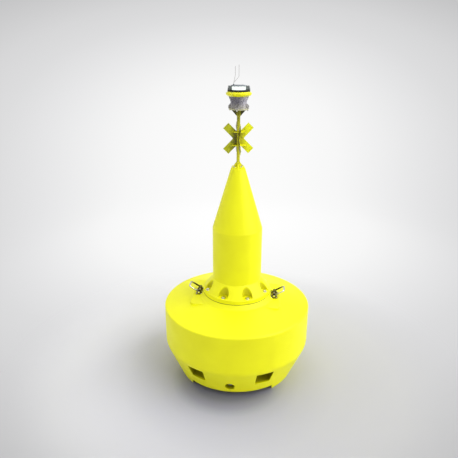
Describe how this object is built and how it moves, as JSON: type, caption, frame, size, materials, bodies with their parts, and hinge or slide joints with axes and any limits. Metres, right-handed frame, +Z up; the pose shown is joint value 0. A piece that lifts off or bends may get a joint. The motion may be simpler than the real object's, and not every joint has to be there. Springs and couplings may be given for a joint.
{
  "type": "navigation buoy",
  "caption": "Yellow special mark buoy: moulded float on runners, moulded tower, pipe mast with a cross topmark, lantern and two hinged lifting bows.",
  "frame": {"origin": "on the ground, under the middle of the float", "axes": "+Z up along the mast line; -Y to the front, where one mooring bar pocket faces; the lifting bows at -X and +X"},
  "size_m": [1.8, 1.7996, 3.724],
  "materials": {
    "float_yellow": "satin moulded",
    "mast_yellow": "powder coated",
    "stainless": "brushed",
    "lamp_grey": "satin moulded",
    "lamp_yellow": "moulded",
    "gasket_black": "matte",
    "core_white": "moulded",
    "lens_clear": "polished",
    "cap_slate": "satin moulded"
  },
  "bodies": {
    "root": {"float": "float_yellow", "mooring_bar": "stainless", "mooring_nuts": "stainless", "mooring_eye": "stainless", "tower": "float_yellow", "tower_bolts": "stainless", "mast_foot_plate": "mast_yellow", "mast": "mast_yellow", "mast_foot_gussets": "mast_yellow", "mast_head_plate": "mast_yellow", "mast_head_gussets": "mast_yellow", "topmark_disc_upper": "mast_yellow", "topmark_disc_lower": "mast_yellow", "lantern_body": "lamp_grey", "lantern_bolts": "stainless", "lantern_ring": "lamp_yellow", "lantern_gasket": "gasket_black", "lantern_core": "core_white", "lantern_lens": "lens_clear", "lantern_cap": "cap_slate", "spike_base": "cap_slate", "spikes": "stainless", "lifting_bracket_left": "stainless", "lifting_pin_left": "stainless", "lifting_bolts_left": "stainless", "lifting_bracket_right": "stainless", "lifting_pin_right": "stainless", "lifting_bolts_right": "stainless", "topmark_wing_1": "mast_yellow", "topmark_wing_2": "mast_yellow", "topmark_wing_3": "mast_yellow", "topmark_wing_4": "mast_yellow"},
    "bow_left": {"lifting_bow_left": "stainless"},
    "bow_right": {"lifting_bow_right": "stainless"}
  },
  "joints": [
    {"name": "bow_left_hinge", "type": "hinge", "parent": "root", "child": "bow_left", "pos_m": [-0.469, 0, 1.015], "axis": [0, 1, 0], "range_deg": [-40, 83]},
    {"name": "bow_right_hinge", "type": "hinge", "parent": "root", "child": "bow_right", "pos_m": [0.469, 0, 1.015], "axis": [0, -1, 0], "range_deg": [-40, 83]}
  ]
}
